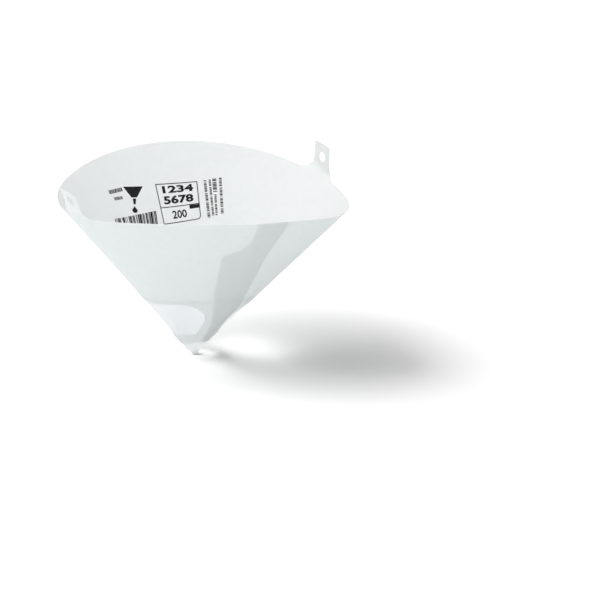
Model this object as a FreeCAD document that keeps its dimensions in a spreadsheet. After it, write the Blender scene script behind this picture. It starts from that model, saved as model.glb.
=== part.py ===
import FreeCAD, Part

import math
import os

import Sketcher

# A throw-away paint strainer: one die-cut paper sheet rolled into an oval cone, with a woven
# nylon mesh glued inside its point.
#
# Z is the axis of the cone and the point is at the origin. The oval is widest along X, and the
# sheet's glued lap runs down the front, on -Y. Distances "along the wall" are measured from the
# point, so the cut edges that were arcs on the flat sheet are cut here by balls round the origin.
#
# The oval is drawn the way a drafter draws one, with four arcs. Here each arc is a sector of a
# round cone with its tip at the point: two close cones at the ends of the oval, whose axes tilt
# outwards, and two open cones at the front and back, whose axes tilt the other way. Neighbours
# share a straight line of the wall and both axes lie in one plane with it, so the wall runs
# smoothly from one to the next and has one thickness all round.

SIZES = (
    ("rim_slant", 150.0, "along the wall, point to rim"),
    ("side_angle", 42.0, "wall to the axis at the wide ends of the oval, degrees"),
    ("front_angle", 33.5, "wall to the axis at the front and back, degrees"),
    ("tilt_ratio", 1.647, "tilt of the end cones' axes over the difference of the wall angles"),
    ("paper", 0.3, "thickness of the sheet"),
    ("point_slant", 13.5, "along the wall, point to the sheet's lower edge"),
    ("cone_low", 6.0, "along each cone's own axis, where it starts"),
    # the lap: seen from above, the corners of the sheet's two ends
    ("end_low_x", 24.5, "free outer end, beside the window"),
    ("end_low_y", 19.5, ""),
    ("end_mid_x", 29.0, "free outer end, halfway up"),
    ("end_mid_y", 45.0, ""),
    ("end_rim_x", 46.0, "free outer end, at the rim"),
    ("end_rim_y", 76.0, ""),
    ("flap_low_x", 6.3, "hidden flap, on the strut"),
    ("flap_low_y", 17.4, ""),
    ("flap_side_x", 1.7, "hidden flap, its upright edge"),
    ("flap_side_low_y", 41.0, ""),
    ("flap_side_top_y", 63.0, ""),
    ("flap_neck_x", 14.0, "hidden flap, where its end narrows"),
    ("flap_neck_y", 66.5, ""),
    ("flap_rim_x", 22.0, "hidden flap, at the rim"),
    ("flap_rim_y", 82.0, ""),
    # the two windows and the struts between them
    ("window_low", 23.0, "along the wall, point to the windows' lower edge"),
    ("window_top", 57.5, "along the wall, point to the windows' upper edge"),
    ("window_corner", 16.0, "radius of the windows' upper corners"),
    ("strut_width", 17.0, "paper left between the windows"),
    ("strut_azimuth", -63.0, "direction of the front strut seen from above, degrees"),
    # the two hanging tabs
    ("right_azimuth", 24.1, "direction of the right tab seen from above, degrees from +X"),
    ("left_azimuth", 17.5, "direction of the left tab seen from above, degrees from -X"),
    ("tab_width", 19.0, "width of a tab"),
    ("tab_length", 18.5, "length of a tab above its crease"),
    ("tab_corner", 3.0, "radius of a tab's upper corners"),
    ("tab_root", 8.0, "radius where a tab runs into the rim"),
    ("right_drop", 2.0, "rim at the right tab's low side, below the rim at its middle"),
    ("right_rise", 2.8, "rim at the right tab's high side, above the rim at its middle"),
    ("left_drop", 1.4, "rim at the left tab's low side, below the rim at its middle"),
    ("left_rise", 2.25, "rim at the left tab's high side, above the rim at its middle"),
    ("crease_rise", 3.6, "crease above the rim at the tab's middle"),
    ("right_lean", -1.0, "right tab to the vertical, outwards, degrees"),
    ("left_lean", 26.0, "left tab to the vertical, outwards, degrees"),
    ("hole_width", 7.0, "diameter of the punched hole"),
    ("hole_rise", 9.0, "hole's centre above the crease, along the tab"),
    # the mesh
    ("mesh", 0.2, "thickness of the woven mesh"),
    ("mesh_overlap", 4.5, "mesh glued to the paper above the windows, along the wall"),
    ("mesh_gap", 0.12, "glue line between mesh and paper"),
    ("mesh_low", 2.2, "along each cone's own axis, where the mesh starts"),
    ("bead_width", 0.9, "half the width of the folded point at its end"),
    ("bead_depth", 0.6, "half the depth of the folded point at its end"),
    ("bead_height", 4.0, "height of the folded and glued point"),
)


def tab_rows(side):
    """Where a tab's azimuth meets a level cut of its end cone, and the way that it faces there."""
    return (
        (f"{side}_cos", f"cos(Sizes.{side}_azimuth * 1 deg)", f"{side} tab"),
        (f"{side}_sin", f"sin(Sizes.{side}_azimuth * 1 deg)", ""),
        (f"{side}_a", f"pow({side}_cos / cut_long; 2) + pow({side}_sin / cut_short; 2)", ""),
        (f"{side}_b", f"cut_middle * {side}_cos / pow(cut_long; 2)", ""),
        (f"{side}_c", "pow(cut_middle / cut_long; 2) - 1", ""),
        (
            f"{side}_reach",
            f"({side}_b + sqrt({side}_b * {side}_b - {side}_a * {side}_c)) / {side}_a",
            "tab's middle from the axis, for each mm of height",
        ),
        (f"{side}_x", f"{side}_reach * {side}_cos", ""),
        (f"{side}_y", f"{side}_reach * {side}_sin", ""),
        (
            f"{side}_facing",
            f"atan(({side}_y / pow(cut_short; 2))"
            f" / (({side}_x - cut_middle) / pow(cut_long; 2))) / 1 deg",
            "way the tab faces, degrees",
        ),
        (f"{side}_face_cos", f"cos({side}_facing * 1 deg)", ""),
        (f"{side}_face_sin", f"sin({side}_facing * 1 deg)", ""),
        (f"{side}_rim", f"Sizes.rim_slant / sqrt(1 + {side}_reach * {side}_reach)", "rim's height"),
        (f"{side}_crease", f"{side}_rim + Sizes.crease_rise", "crease's height"),
        (
            f"{side}_out",
            f"{side}_crease * ({side}_x * {side}_face_cos + {side}_y * {side}_face_sin)",
            "crease from the axis",
        ),
        (
            f"{side}_aside",
            f"{side}_crease * ({side}_x * {side}_face_sin - {side}_y * {side}_face_cos)",
            "tab's middle, sideways",
        ),
    )


WORKED = (
    # the four round cones: half angle of each kind, and the turn from its middle to where it ends
    ("less", "Sizes.side_angle - Sizes.front_angle", "difference of the wall angles, degrees"),
    ("end_tilt", "Sizes.tilt_ratio * less", "tilt of the end cones' axes, degrees"),
    (
        "face_tilt",
        "atan((cos((end_tilt - less) * 1 deg) - cos(end_tilt * 1 deg))"
        " / sin((end_tilt - less) * 1 deg)) / 1 deg",
        "tilt of the front and back cones' axes, degrees",
    ),
    ("end_half", "Sizes.side_angle - end_tilt", "half angle of the end cones, degrees"),
    ("face_half", "Sizes.front_angle + face_tilt", "half angle of the front and back cones"),
    (
        "end_turn",
        "atan(tan(face_tilt * 1 deg) / sin(end_tilt * 1 deg)) / 1 deg",
        "an end cone's own half turn, degrees",
    ),
    (
        "face_turn",
        "atan(tan(end_tilt * 1 deg) / sin(face_tilt * 1 deg)) / 1 deg",
        "a front or back cone's own half turn, degrees",
    ),
    # the line down the wall where the back cone meets the right end cone, as a direction
    ("join_x", "sin(face_half * 1 deg) * sin(face_turn * 1 deg)", "the back right line"),
    (
        "join_y",
        "sin(face_half * 1 deg) * cos(face_turn * 1 deg) * cos(face_tilt * 1 deg)"
        " - cos(face_half * 1 deg) * sin(face_tilt * 1 deg)",
        "",
    ),
    (
        "join_z",
        "sin(face_half * 1 deg) * cos(face_turn * 1 deg) * sin(face_tilt * 1 deg)"
        " + cos(face_half * 1 deg) * cos(face_tilt * 1 deg)",
        "",
    ),
    # The flap lies under the free end because the right part of the sheet is slid up along that
    # line. The layers are then a little under one thickness apart, so that they are one solid.
    ("front_cos", "cos(Sizes.front_angle * 1 deg)", ""),
    ("front_sin", "sin(Sizes.front_angle * 1 deg)", ""),
    ("layer", "0.93 * Sizes.paper", "distance from layer to layer at the front"),
    ("slide", "layer / (join_y * front_cos + join_z * front_sin)", "slide of the right part"),
    ("slide_x", "slide * join_x", ""),
    ("slide_y", "slide * join_y", ""),
    ("slide_z", "slide * join_z", ""),
    # the mesh cone is pushed back and up until it lies on the back wall and on the flap
    ("mesh_back", "layer / (2 * front_cos)", "mesh cone's place on Y"),
    ("mesh_up", "layer / (2 * front_sin)", "mesh cone's place on Z"),
    ("mesh_inset", "Sizes.paper + Sizes.mesh_gap", "mesh inside the outer face of the paper"),
    # a level cut through an end cone is an ellipse: its centre and half axes for each mm of height
    ("cut_far", "tan(Sizes.side_angle * 1 deg)", ""),
    ("cut_near", "tan((end_half - end_tilt) * 1 deg)", ""),
    ("cut_middle", "(cut_far - cut_near) / 2", "centre, from the axis"),
    ("cut_long", "(cut_far + cut_near) / 2", "half width"),
    (
        "cut_short",
        "cut_long * sqrt(1 - pow(sin(end_tilt * 1 deg) / cos(end_half * 1 deg); 2))",
        "half depth",
    ),
    *tab_rows("right"),
    *tab_rows("left"),
)

doc = FreeCAD.newDocument("paint_strainer")


def make_sheet(name, rows, lead):
    """A spreadsheet with one named value a row."""
    sheet = doc.addObject("Spreadsheet::Sheet", name)
    for row, (alias, value, note) in enumerate(rows, start=1):
        sheet.set(f"A{row}", note)
        sheet.set(f"B{row}", lead + str(value))
        sheet.setAlias(f"B{row}", alias)
    doc.recompute()
    return sheet


sizes = make_sheet("Sizes", SIZES, "")
worked = make_sheet("Worked", WORKED, "=")


def bind(thing, **expressions):
    """Tie properties of a document object to the sheets."""
    for path, expression in expressions.items():
        thing.setExpression(path.replace("__", "."), expression)
    return thing


def value_of(expression):
    """What an expression comes to now, to draw a sketch near its final shape."""
    found = sizes.evalExpression(expression)
    return float(getattr(found, "Value", found))


def combine(kind, name, *things):
    """A boolean of document objects: Cut and Common take two, MultiFuse any number."""
    result = doc.addObject("Part::" + kind, name)
    result.Refine = False
    if kind == "MultiFuse":
        result.Shapes = list(things)
    else:
        result.Base, result.Tool = things
    return result


def oval(name, width, depth, height, x="0", y="0"):
    """A level oval: half width on X, half depth on Y, its height and its centre."""
    ring = doc.addObject("Part::Ellipse", name)
    return bind(
        ring,
        MajorRadius=width,
        MinorRadius=depth,
        Placement__Base__x=x,
        Placement__Base__y=y,
        Placement__Base__z=height,
    )


def between(name, low, high):
    """The solid between two ovals, with straight sides."""
    loft = doc.addObject("Part::Loft", name)
    loft.Sections = [low, high]
    loft.Solid = True
    loft.Ruled = True
    return loft


UP = "vector(0; 0; 1)"
ENDS = ("Worked.end_tilt", "Worked.end_half", "Worked.end_turn")
FACES = ("-Worked.face_tilt", "Worked.face_half", "Worked.face_turn")
AT_POINT = "vector(0; 0; 0)"


def cone(name, azimuth, kind, inset, low, slant, place, turn):
    """A round cone of the oval, inset from the outer face, cut short below, turned through turn."""
    tilt, half, _ = kind
    high = f"{slant} * cos({half} * 1 deg)"
    tip = f"({inset}) / sin({half} * 1 deg)"
    flare = f"tan({half} * 1 deg)"
    made = bind(
        doc.addObject("Part::Cone", name),
        Radius1=f"({low} - {tip}) * {flare}",
        Radius2=f"({high} - {tip}) * {flare}",
        Height=f"{high} - {low}",
        Angle=f"{turn} * 1 deg",
    )
    aimed = (
        f"rotation({UP}; {azimuth} * 1 deg)"
        f" * rotation(vector(0; 1; 0); {tilt} * 1 deg)"
        f" * rotation({UP}; -{turn} / 2 * 1 deg)"
    )
    made.setExpression(
        "Placement", f"placement({place} + {aimed} * vector(0; 0; {low}); {aimed})"
    )
    return made


def wall(name, azimuth, kind, inset, thickness, low, slant, place):
    """One sector of a thin wall on one of the four cones."""
    turn = f"2 * {kind[2]}"
    outer = cone(name + "_outside", azimuth, kind, inset, low, slant, place, turn)
    inner = cone(
        name + "_inside", azimuth, kind, f"{inset} + {thickness}", low, slant, place, "360"
    )
    return combine("Cut", name, outer, inner)


def ball(name, radius):
    """A ball round the point of the cone: it cuts the wall square, at one distance along it."""
    return bind(doc.addObject("Part::Sphere", name), Radius=radius)


def origin_plane(body, role):
    """One of a body's own planes."""
    return next(item for item in body.Origin.OriginFeatures if item.Role == role)


def new_sketch(body, role, name):
    """An empty sketch on one of its body's own planes."""
    sketch = body.newObject("Sketcher::SketchObject", name)
    sketch.AttachmentSupport = [(origin_plane(body, role), "")]
    sketch.MapMode = "FlatFace"
    return sketch


def pin(sketch, geometry, end, x, y):
    """Hold a point of a sketch at two expressions, with "0" for a point on an axis."""
    for kind, axis, expression in (("DistanceX", -2, x), ("DistanceY", -1, y)):
        if expression == "0":
            sketch.addConstraint(Sketcher.Constraint("PointOnObject", geometry, end, axis))
            continue
        rule = Sketcher.Constraint(kind, -1, 1, geometry, end, value_of(expression))
        index = sketch.addConstraint(rule)
        sketch.setExpression(f"Constraints[{index}]", expression)


def plan_prism(name, corners):
    """An upright prism on a polygon drawn from above."""
    body = doc.addObject("PartDesign::Body", name)
    sketch = new_sketch(body, "XY_Plane", name + "_plan")
    points = [FreeCAD.Vector(value_of(x), value_of(y), 0) for x, y in corners]
    for index, start in enumerate(points):
        sketch.addGeometry(Part.LineSegment(start, points[(index + 1) % len(points)]), False)
    for index in range(len(points)):
        following = (index + 1) % len(points)
        sketch.addConstraint(Sketcher.Constraint("Coincident", index, 2, following, 1))
    for index, (x, y) in enumerate(corners):
        if (x, y) == ("0", "0"):
            sketch.addConstraint(Sketcher.Constraint("Coincident", index, 1, -1, 1))
        else:
            pin(sketch, index, 1, x, y)
    pad = body.newObject("PartDesign::Pad", name + "_pad")
    pad.Profile = sketch
    bind(pad, Length="Sizes.rim_slant")
    return body


# ---- the sheet, rolled: from its free end round the left side and back to the hidden flap -----

REACH = "Sizes.rim_slant"
LESS = f"-{REACH}"


def paper_wall(name, azimuth, kind, place=AT_POINT):
    """One sector of the sheet, running past the rim."""
    return wall(
        name, azimuth, kind, "0", "Sizes.paper", "Sizes.cone_low", f"1.1 * {REACH}", place
    )


beyond_free_end = plan_prism(
    "beyond_free_end",
    (
        ("0", "0"),
        ("Sizes.end_low_x", "-Sizes.end_low_y"),
        ("Sizes.end_mid_x", "-Sizes.end_mid_y"),
        ("Sizes.end_rim_x", "-Sizes.end_rim_y"),
        ("Sizes.end_rim_x", LESS),
        (REACH, LESS),
        (REACH, REACH),
        ("0", REACH),
    ),
)
beyond_flap = plan_prism(
    "beyond_flap",
    (
        ("0", "0"),
        ("0", REACH),
        (LESS, REACH),
        (LESS, LESS),
        ("Sizes.flap_rim_x", LESS),
        ("Sizes.flap_rim_x", "-Sizes.flap_rim_y"),
        ("Sizes.flap_neck_x", "-Sizes.flap_neck_y"),
        ("Sizes.flap_side_x", "-Sizes.flap_side_top_y"),
        ("Sizes.flap_side_x", "-Sizes.flap_side_low_y"),
        ("Sizes.flap_low_x", "-Sizes.flap_low_y"),
    ),
)
slid = "vector(Worked.slide_x; Worked.slide_y; Worked.slide_z)"
rolled_sheet = combine(
    "MultiFuse",
    "rolled_sheet",
    combine("Cut", "free_end", paper_wall("front", "270", FACES), beyond_free_end),
    paper_wall("left_end", "180", ENDS),
    paper_wall("back", "90", FACES),
    paper_wall("right_end", "0", ENDS, slid),
    combine("Cut", "flap", paper_wall("under_front", "270", FACES, slid), beyond_flap),
)


# ---- the hanging tabs: the rim runs up to a crease, and the tab is bent back from there -------


def tab_outline(side, facing, top):
    """A prism through one side of the cone with the outline of a tab, facing the tab's way."""
    name = side + "_tab_outline"
    body = doc.addObject("PartDesign::Body", name)
    bind(body, Placement__Rotation__Angle=facing)
    sketch = new_sketch(body, "YZ_Plane", name + "_sketch")
    half = "Sizes.tab_width / 2"
    wide = f"({half} + Sizes.tab_root)"
    low_side = f"(Worked.{side}_rim - Sizes.{side}_drop)"
    high_side = f"(Worked.{side}_rim + Sizes.{side}_rise)"
    foot = f"(Worked.{side}_rim - Sizes.tab_width)"
    middle = f"-Worked.{side}_aside"
    corners = (
        (f"{middle} - {wide}", foot),
        (f"{middle} - {wide}", low_side),
        (f"{middle} - {half}", f"{low_side} + Sizes.tab_root"),
        (f"{middle} - {half}", f"{top} - Sizes.tab_corner"),
        (f"{middle} - {half} + Sizes.tab_corner", top),
        (f"{middle} + {half} - Sizes.tab_corner", top),
        (f"{middle} + {half}", f"{top} - Sizes.tab_corner"),
        (f"{middle} + {half}", f"{high_side} + Sizes.tab_root"),
        (f"{middle} + {wide}", high_side),
        (f"{middle} + {wide}", foot),
    )
    # after which corner an arc follows, with its centre and the way that it turns
    arcs = {
        1: (f"{middle} - {wide}", f"{low_side} + Sizes.tab_root", True),
        3: (f"{middle} - {half} + Sizes.tab_corner", f"{top} - Sizes.tab_corner", False),
        5: (f"{middle} + {half} - Sizes.tab_corner", f"{top} - Sizes.tab_corner", False),
        7: (f"{middle} + {wide}", f"{high_side} + Sizes.tab_root", True),
    }
    points = [FreeCAD.Vector(value_of(x), value_of(y), 0) for x, y in corners]
    count = len(corners)
    first = {}
    for index, start in enumerate(points):
        finish = points[(index + 1) % count]
        if index not in arcs:
            sketch.addGeometry(Part.LineSegment(start, finish), False)
            first[index] = (1, 2)
            continue
        x, y, anticlockwise = arcs[index]
        x_now, y_now = value_of(x), value_of(y)
        centre = FreeCAD.Vector(x_now, y_now, 0)
        radius = start.distanceToPoint(centre)
        begin, end = (start, finish) if anticlockwise else (finish, start)
        angles = [math.atan2(point.y - y_now, point.x - x_now) for point in (begin, end)]
        circle = Part.Circle(centre, FreeCAD.Vector(0, 0, 1), radius)
        sketch.addGeometry(Part.ArcOfCircle(circle, *angles), False)
        first[index] = (1, 2) if anticlockwise else (2, 1)
    for index in range(count):
        following = (index + 1) % count
        sketch.addConstraint(
            Sketcher.Constraint("Coincident", index, first[index][1], following, first[following][0])
        )
    for index, (x, y) in enumerate(corners):
        pin(sketch, index, first[index][0], x, y)
    for index, radius in ((1, "tab_root"), (3, "tab_corner"), (5, "tab_corner"), (7, "tab_root")):
        rule = sketch.addConstraint(
            Sketcher.Constraint("Radius", index, value_of("Sizes." + radius))
        )
        sketch.setExpression(f"Constraints[{rule}]", "Sizes." + radius)
    pad = body.newObject("PartDesign::Pad", name + "_pad")
    pad.Profile = sketch
    bind(pad, Length=REACH)
    return body


def bent_tab(side, facing, lean, way, slide_x, slide_y, slide_z):
    """The outline prism below the crease, the tab above it, and the punch for its hole."""
    crease = f"Worked.{side}_crease"
    top = f"({crease} + Sizes.tab_length * cos({lean} * 1 deg))"
    outline = tab_outline(side, facing, top)
    below = bind(
        doc.addObject("Part::Box", side + "_below_crease"),
        Length="2 * Sizes.rim_slant",
        Width="2 * Sizes.rim_slant",
        Height=crease,
        Placement__Base__x=LESS,
        Placement__Base__y=LESS,
    )
    foot = combine("Common", side + "_tab_foot", outline, below)
    spread = f"Sizes.tab_length * sin({lean} * 1 deg)"
    skins = []
    for skin, inset, high_less in (
        ("outside", "0", "0"),
        ("inside", "Sizes.paper", f"Sizes.paper / cos({lean} * 1 deg)"),
    ):
        tip = f"({inset}) / sin(Worked.end_half * 1 deg)"
        height = f"({crease} - {slide_z} - {tip} * cos(Worked.end_tilt * 1 deg))"
        middle = f"{way} * ({tip} * sin(Worked.end_tilt * 1 deg) + {height} * Worked.cut_middle)"
        low = oval(
            f"{side}_{skin}_crease",
            f"{height} * Worked.cut_long",
            f"{height} * Worked.cut_short",
            crease,
            f"{middle} + {slide_x}",
            slide_y,
        )
        flat = f"({crease} - {slide_z})"
        high = oval(
            f"{side}_{skin}_top",
            f"{flat} * Worked.cut_long + {spread} - {high_less}",
            f"{flat} * Worked.cut_short + {spread} - {high_less}",
            top,
            f"{way} * {flat} * Worked.cut_middle + {slide_x}",
            slide_y,
        )
        skins.append(between(f"{side}_band_{skin}", low, high))
    band = combine("Cut", side + "_band", *skins)
    tab = combine("Common", side + "_tab", band, outline)
    punch = bind(
        doc.addObject("Part::Cylinder", side + "_punch"),
        Radius="Sizes.hole_width / 2",
        Height="Sizes.tab_width",
    )
    out = (
        f"(Worked.{side}_out + Sizes.hole_rise * sin({lean} * 1 deg)"
        f" - Sizes.tab_width / 2 * cos({lean} * 1 deg))"
    )
    rise = (
        f"({crease} + Sizes.hole_rise * cos({lean} * 1 deg)"
        f" + Sizes.tab_width / 2 * sin({lean} * 1 deg))"
    )
    turned = f"rotation(vector(0; 0; 1); {facing} * 1 deg)"
    tipped = f"rotation(vector(0; 1; 0); (90 + {lean}) * 1 deg)"
    placed = f"{turned} * vector({out}; -Worked.{side}_aside; {rise})"
    punch.setExpression("Placement", f"placement({placed}; {turned} * {tipped})")
    return foot, tab, punch


right_foot, right_tab, right_punch = bent_tab(
    "right",
    "Worked.right_facing",
    "Sizes.right_lean",
    "1",
    "Worked.slide_x",
    "Worked.slide_y",
    "Worked.slide_z",
)
left_foot, left_tab, left_punch = bent_tab(
    "left", "(Worked.left_facing + 180)", "Sizes.left_lean", "-1", "0", "0", "0"
)


# ---- the windows: two lobes turned about a level axis, with round upper corners ---------------


def window_lobe(name, azimuth):
    """All that lies beyond one side of the struts and within the windows' upper edge."""
    body = doc.addObject("PartDesign::Body", name)
    bind(body, Placement__Rotation__Angle=azimuth)
    sketch = new_sketch(body, "XZ_Plane", name + "_profile")
    side = value_of("Sizes.strut_width / 2")
    top = value_of("Sizes.window_top")
    corner = value_of("Sizes.window_corner")
    bend = FreeCAD.Vector(side + corner, math.sqrt((top - corner) ** 2 - (side + corner) ** 2), 0)
    slope = math.atan2(bend.y, bend.x)
    zero = FreeCAD.Vector(0, 0, 0)
    up = FreeCAD.Vector(0, 0, 1)
    sketch.addGeometry(
        [
            Part.LineSegment(FreeCAD.Vector(side, 0, 0), FreeCAD.Vector(side, bend.y, 0)),
            Part.ArcOfCircle(Part.Circle(bend, up, corner), slope, math.pi),
            Part.ArcOfCircle(Part.Circle(zero, up, top), 0, slope),
            Part.LineSegment(FreeCAD.Vector(top, 0, 0), FreeCAD.Vector(side, 0, 0)),
        ],
        False,
    )
    rules = (
        ("Tangent", 0, 2, 1, 2),
        ("Tangent", 1, 1, 2, 2),
        ("Coincident", 2, 3, -1, 1),
        ("Coincident", 2, 1, 3, 1),
        ("Coincident", 3, 2, 0, 1),
        ("PointOnObject", 2, 1, -1),
        ("PointOnObject", 0, 1, -1),
        ("Vertical", 0),
    )
    for rule in rules:
        sketch.addConstraint(Sketcher.Constraint(*rule))
    for rule, expression in (
        (("Radius", 1, corner), "Sizes.window_corner"),
        (("Radius", 2, top), "Sizes.window_top"),
        (("DistanceX", -1, 1, 0, 1, side), "Sizes.strut_width / 2"),
    ):
        index = sketch.addConstraint(Sketcher.Constraint(*rule))
        sketch.setExpression(f"Constraints[{index}]", expression)
    lobe = body.newObject("PartDesign::Revolution", name + "_turned")
    lobe.Profile = sketch
    lobe.ReferenceAxis = (sketch, ["H_Axis"])
    lobe.Angle = 360
    return body


window_tool = combine(
    "Cut",
    "window_tool",
    combine(
        "MultiFuse",
        "window_lobes",
        window_lobe("right_window", "Sizes.strut_azimuth + 90"),
        window_lobe("left_window", "Sizes.strut_azimuth - 90"),
    ),
    ball("window_low_ball", "Sizes.window_low"),
)


# ---- the paper, in one piece ------------------------------------------------------------------

kept = combine("MultiFuse", "inside_the_rim", ball("rim_ball", REACH), right_foot, left_foot)
body_of_sheet = combine("Common", "trimmed_sheet", rolled_sheet, kept)
with_tabs = combine("MultiFuse", "sheet_with_tabs", body_of_sheet, right_tab, left_tab)
cutters = combine(
    "MultiFuse",
    "sheet_cutters",
    ball("point_ball", "Sizes.point_slant"),
    window_tool,
    right_punch,
    left_punch,
)
paper_cone = combine("Cut", "paper_cone", with_tabs, cutters)


# ---- the mesh: a thin cone inside the paper, closed by its folded and glued point --------------

MESH_TOP = "(Sizes.window_top + Sizes.mesh_overlap)"
seated = "vector(0; Worked.mesh_back; Worked.mesh_up)"
mesh_wall = combine(
    "MultiFuse",
    "mesh_wall",
    *(
        wall(
            "mesh_" + name,
            azimuth,
            kind,
            "Worked.mesh_inset",
            "Sizes.mesh",
            "Sizes.mesh_low",
            f"1.05 * {MESH_TOP}",
            seated,
        )
        for name, azimuth, kind in (
            ("right_end", "0", ENDS),
            ("back", "90", FACES),
            ("left_end", "180", ENDS),
            ("front", "270", FACES),
        )
    ),
)
mesh_trimmed = combine("Common", "mesh_trimmed", mesh_wall, ball("mesh_ball", MESH_TOP))


def bead_half(angle):
    """Half a width of the folded point where it ends, halfway through the wall of the mesh."""
    level = "(Sizes.bead_height - Worked.mesh_up)"
    inset = "(Worked.mesh_inset + Sizes.mesh / 2)"
    return f"{level} * tan({angle} * 1 deg) - {inset} / cos({angle} * 1 deg)"


bead = between(
    "folded_point",
    oval("bead_end", "Sizes.bead_width", "Sizes.bead_depth", "0"),
    oval(
        "bead_top",
        bead_half("Sizes.side_angle"),
        bead_half("Sizes.front_angle"),
        "Sizes.bead_height",
        "0",
        "Worked.mesh_back",
    ),
)
filter_mesh = combine("MultiFuse", "filter_mesh", mesh_trimmed, bead)

doc.recompute()

for thing in doc.Objects:
    if "Invalid" in thing.State or "Error" in thing.State:
        raise RuntimeError(f"{thing.Name} did not compute: {thing.State}")

os.makedirs("parts", exist_ok=True)
for node in (paper_cone, filter_mesh):
    shape = node.Shape
    if shape.isNull() or not shape.isValid() or len(shape.Solids) != 1:
        raise RuntimeError(f"{node.Label} is not one valid solid")
    box = shape.BoundBox
    print(f"{node.Label}: {shape.Volume:.1f} mm3, z {box.ZMin:.2f} to {box.ZMax:.2f}")
    shape.exportStep(f"parts/{node.Label}.step")
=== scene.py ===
# %% [markdown]
# # A paper paint strainer
#
# Painters hang this throw-away funnel over a can and pour paint through it. It is one die-cut
# paper sheet rolled into an oval cone, with a cone of woven nylon glued inside its point. This
# lesson makes it the same way: cut a flat sheet, roll it, bend its tabs, and put the cloth in.

# %% Load the fixed frame
import math

import bmesh
import bpy
from mathutils import Matrix, Vector


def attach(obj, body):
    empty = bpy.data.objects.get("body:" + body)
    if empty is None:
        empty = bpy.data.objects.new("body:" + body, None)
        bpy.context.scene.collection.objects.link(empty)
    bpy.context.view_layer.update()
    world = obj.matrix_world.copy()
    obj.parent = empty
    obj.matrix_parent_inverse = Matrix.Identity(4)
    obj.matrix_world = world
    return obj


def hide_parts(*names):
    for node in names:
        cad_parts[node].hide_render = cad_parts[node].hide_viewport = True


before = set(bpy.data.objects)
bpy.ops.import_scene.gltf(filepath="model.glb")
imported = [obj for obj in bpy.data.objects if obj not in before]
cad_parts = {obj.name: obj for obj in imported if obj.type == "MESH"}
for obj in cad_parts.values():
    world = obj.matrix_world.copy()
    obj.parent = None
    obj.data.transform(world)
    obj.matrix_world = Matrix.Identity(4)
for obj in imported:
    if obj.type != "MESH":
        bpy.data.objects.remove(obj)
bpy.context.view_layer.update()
MM = 0.001
print("nodes:", sorted(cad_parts))

# %% [markdown]
# ## The camera
#
# The strainer stands on its point and is seen from the front left, a little from above. A long
# lens far away shows it with hardly any perspective. The camera is made first, so that each
# piece can be looked at as soon as it is there. It is rolled by a few degrees, because the
# object leans in the view while the light and the floor stay level.

# %% Camera
LENS, SENSOR = 1000, 36
VIEW_WIDTH = 410.3 * MM
AZIMUTH, ELEVATION, ROLL = math.radians(-12.86), math.radians(20.48), math.radians(3.31)
AIM_RIGHT, AIM_UP = 72.0 * MM, 36.9 * MM


def make_camera():
    """A long lens that looks at a place beside and above the strainer's point."""
    camera = bpy.data.objects.new("camera", bpy.data.cameras.new("camera"))
    bpy.context.scene.collection.objects.link(camera)
    camera.data.lens = LENS
    camera.data.sensor_width = SENSOR
    level = math.cos(ELEVATION)
    back = Vector((math.sin(AZIMUTH) * level, -math.cos(AZIMUTH) * level, math.sin(ELEVATION)))
    turn = (-back).to_track_quat("-Z", "Y").to_matrix() @ Matrix.Rotation(ROLL, 3, "Z")
    aim = turn @ Vector((AIM_RIGHT, AIM_UP, 0))
    place = Matrix.Translation(aim + back * (VIEW_WIDTH * LENS / SENSOR))
    camera.matrix_world = place @ turn.to_4x4()
    bpy.context.scene.camera = camera
    print("camera distance in m:", round((camera.location - aim).length, 2))


make_camera()

# %% [markdown]
# ## The shape of the rolled wall
#
# A sheet of paper bends in one direction only, so every rolled shape is made of straight lines.
# Here all of them run through the point. The oval is drawn as a drafter draws one, with four
# arcs: each is a sector of a round cone, and neighbours share a line, so the wall runs smoothly.
# SIDE and FRONT are the angles between the wall and the upright axis there. One function turns a
# place on the flat sheet, a distance from the point and an angle, into a place in space. The
# paper, the print and the cloth all use it, so they follow each other.

# %% The four sectors
SIDE, FRONT = math.radians(42), math.radians(33.5)
TILT_RATIO = 1.647
LESS = SIDE - FRONT
END_TILT = TILT_RATIO * LESS
FACE_TILT = math.atan(
    (math.cos(END_TILT - LESS) - math.cos(END_TILT)) / math.sin(END_TILT - LESS)
)
END_HALF, FACE_HALF = SIDE - END_TILT, FRONT + FACE_TILT
END_FAN = math.sin(END_HALF) * math.atan(math.tan(FACE_TILT) / math.sin(END_TILT))
FACE_FAN = math.sin(FACE_HALF) * math.atan(math.tan(END_TILT) / math.sin(FACE_TILT))
QUARTER = END_FAN + FACE_FAN
ONE_TURN = 4 * QUARTER
print("flat sheet for one turn, degrees:", round(math.degrees(ONE_TURN), 1))


def arc_at(turn):
    """Which arc a flat angle is on: 0 is the front, then 1 left, 2 back, 3 right, 4 front."""
    index = -4
    while turn < -index * QUARTER - (FACE_FAN if index % 2 == 0 else END_FAN):
        index += 1
    return index


def straight_line(turn):
    """The direction of the wall's straight line at a flat angle, and the wall's outward normal."""
    index = arc_at(turn)
    tilt, half = (-FACE_TILT, FACE_HALF) if index % 2 == 0 else (END_TILT, END_HALF)
    around = (turn + index * QUARTER) / math.sin(half)
    aim = Matrix.Rotation(-math.pi / 2 * (1 + index), 3, "Z") @ Matrix.Rotation(tilt, 3, "Y")
    flat = Vector((math.cos(around), math.sin(around), 0))
    line = aim @ (flat * math.sin(half) + Vector((0, 0, math.cos(half))))
    outward = aim @ (flat * math.cos(half) - Vector((0, 0, math.sin(half))))
    return line, outward


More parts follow.
